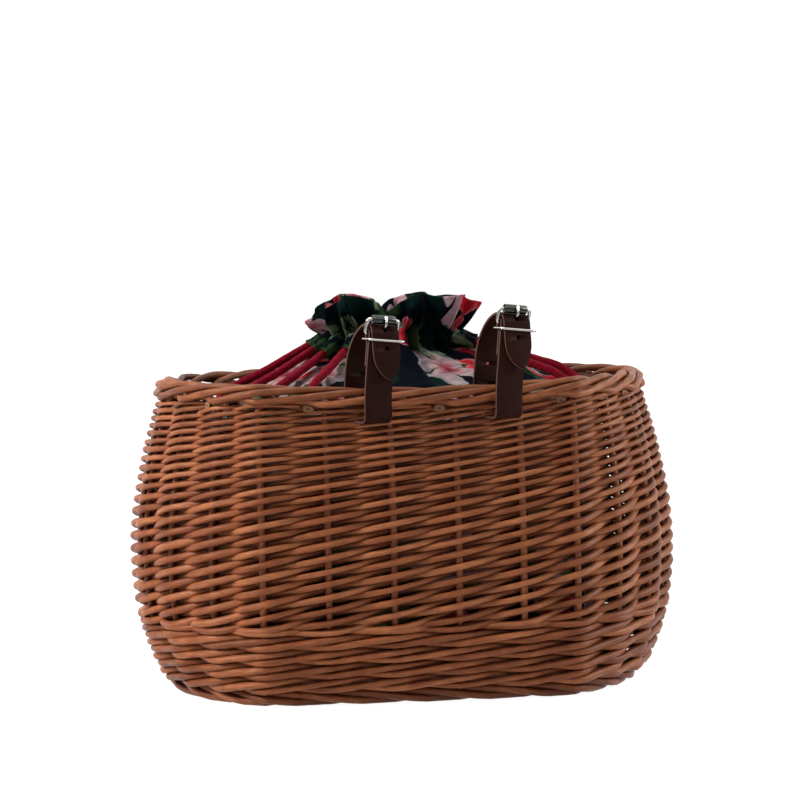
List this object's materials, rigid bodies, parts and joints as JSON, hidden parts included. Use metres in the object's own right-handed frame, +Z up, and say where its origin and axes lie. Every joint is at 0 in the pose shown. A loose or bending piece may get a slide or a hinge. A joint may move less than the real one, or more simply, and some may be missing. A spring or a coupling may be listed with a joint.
{
  "type": "bicycle basket",
  "caption": "Woven willow handlebar basket with leather buckle straps and a drawstring liner bag in printed cloth.",
  "frame": {"origin": "on the floor, under the middle of the whole object's box", "axes": "+X along the long side, to the right as seen from the strap face; -Y out of the strap face; +Z up"},
  "size_m": [0.3924, 0.2702, 0.28],
  "materials": {
    "willow": "stained willow rod, half gloss",
    "strap_leather": "smooth, half gloss",
    "nickel": "nickel plated, polished",
    "roller_steel": "dark plated, polished",
    "liner_cloth": "printed cotton, matte",
    "red_cord": "twisted cord, satin"
  },
  "bodies": {
    "basket": {"stake_01": "willow", "stake_02": "willow", "stake_03": "willow", "stake_04": "willow", "stake_05": "willow", "stake_06": "willow", "stake_07": "willow", "stake_08": "willow", "stake_09": "willow", "stake_10": "willow", "stake_11": "willow", "stake_12": "willow", "stake_13": "willow", "stake_14": "willow", "stake_15": "willow", "stake_16": "willow", "stake_17": "willow", "stake_18": "willow", "stake_19": "willow", "stake_20": "willow", "stake_21": "willow", "stake_22": "willow", "stake_23": "willow", "stake_24": "willow", "stake_25": "willow", "side_weave_1": "willow", "side_weave_2": "willow", "side_weave_3": "willow", "side_weave_4": "willow", "wale_strand_1": "willow", "wale_strand_2": "willow", "wale_strand_3": "willow", "foot_ring": "willow", "base_weave": "willow", "base_stick_1": "willow", "base_stick_2": "willow", "base_stick_3": "willow", "base_stick_4": "willow", "base_stick_5": "willow", "left_strap": "strap_leather", "left_buckle_frame": "nickel", "right_strap": "strap_leather", "right_buckle_frame": "nickel"},
    "liner": {"liner_bag": "liner_cloth", "liner_ruffle": "liner_cloth", "left_drawstring_long": "red_cord", "left_drawstring_short": "red_cord", "right_drawstring": "red_cord"},
    "left_roller_tube": {"left_roller": "roller_steel"},
    "left_prong_wire": {"left_prong": "nickel"},
    "left_keeper_loop": {"left_keeper": "nickel"},
    "right_roller_tube": {"right_roller": "roller_steel"},
    "right_prong_wire": {"right_prong": "nickel"},
    "right_keeper_loop": {"right_keeper": "nickel"}
  },
  "joints": [
    {"name": "liner_lift", "type": "slide", "parent": "basket", "child": "liner", "axis": [0, 0, 1], "range_m": [0, 0.26]},
    {"name": "left_roller_spin", "type": "hinge", "parent": "basket", "child": "left_roller_tube", "pos_m": [-0.02313, -0.12543, 0.2646], "axis": [0.9345, 0.3401, -0.1045], "continuous": true},
    {"name": "left_prong_swing", "type": "hinge", "parent": "basket", "child": "left_prong_wire", "pos_m": [-0.02504, -0.12312, 0.25505], "axis": [0.9345, 0.3401, -0.1045], "range_deg": [0, 14]},
    {"name": "left_keeper_slide", "type": "slide", "parent": "basket", "child": "left_keeper_loop", "axis": [-0.0982, -0.0358, -0.9945], "range_m": [0, 0.014]},
    {"name": "right_roller_spin", "type": "hinge", "parent": "basket", "child": "right_roller_tube", "pos_m": [0.06691, -0.12454, 0.26993], "axis": [0.9345, 0.3401, -0.1045], "continuous": true},
    {"name": "right_prong_swing", "type": "hinge", "parent": "basket", "child": "right_prong_wire", "pos_m": [0.065, -0.12224, 0.26038], "axis": [0.9345, 0.3401, -0.1045], "range_deg": [0, 14]},
    {"name": "right_keeper_slide", "type": "slide", "parent": "basket", "child": "right_keeper_loop", "axis": [-0.0982, -0.0358, -0.9945], "range_m": [0, 0.014]}
  ]
}
